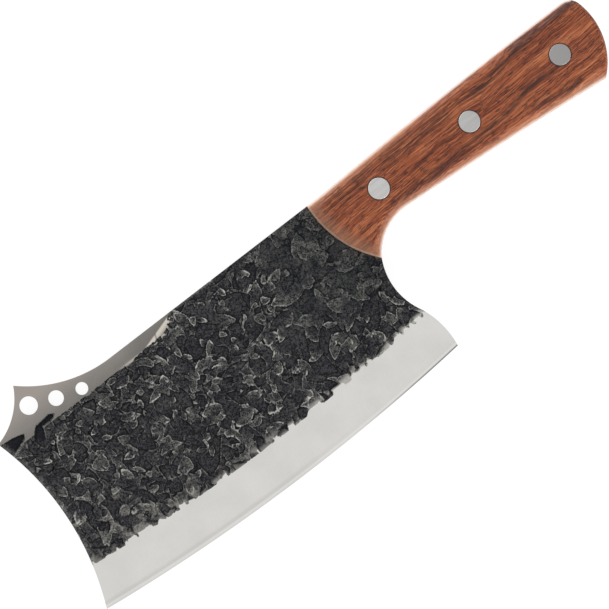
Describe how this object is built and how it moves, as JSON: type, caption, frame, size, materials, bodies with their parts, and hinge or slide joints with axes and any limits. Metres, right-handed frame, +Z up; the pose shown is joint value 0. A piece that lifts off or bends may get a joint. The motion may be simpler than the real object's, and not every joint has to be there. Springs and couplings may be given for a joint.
{
  "type": "meat cleaver",
  "caption": "Broad butcher's cleaver: forged black blade with a ground bevel and a drilled horn at its nose, and a wooden handle riveted to a full tang.",
  "frame": {"origin": "bottom centre of the whole knife's box, on the table that it lies on", "axes": "+X along the knife towards the butt, +Y from the edge towards the spine, +Z up, out of the knife's left side"},
  "size_m": [0.3128, 0.1042, 0.0286],
  "materials": {
    "blade_steel": "forge-black hammered sides, satin ground bevel and horn",
    "scale_wood": "oiled red-brown hardwood with dark streaks",
    "rivet_steel": "matt brushed"
  },
  "bodies": {
    "root": {"blade_with_tang": "blade_steel", "left_scale": "scale_wood", "right_scale": "scale_wood", "front_rivet_post": "rivet_steel", "front_rivet_tube": "rivet_steel", "middle_rivet_post": "rivet_steel", "middle_rivet_tube": "rivet_steel", "rear_rivet_post": "rivet_steel", "rear_rivet_tube": "rivet_steel"}
  },
  "joints": []
}
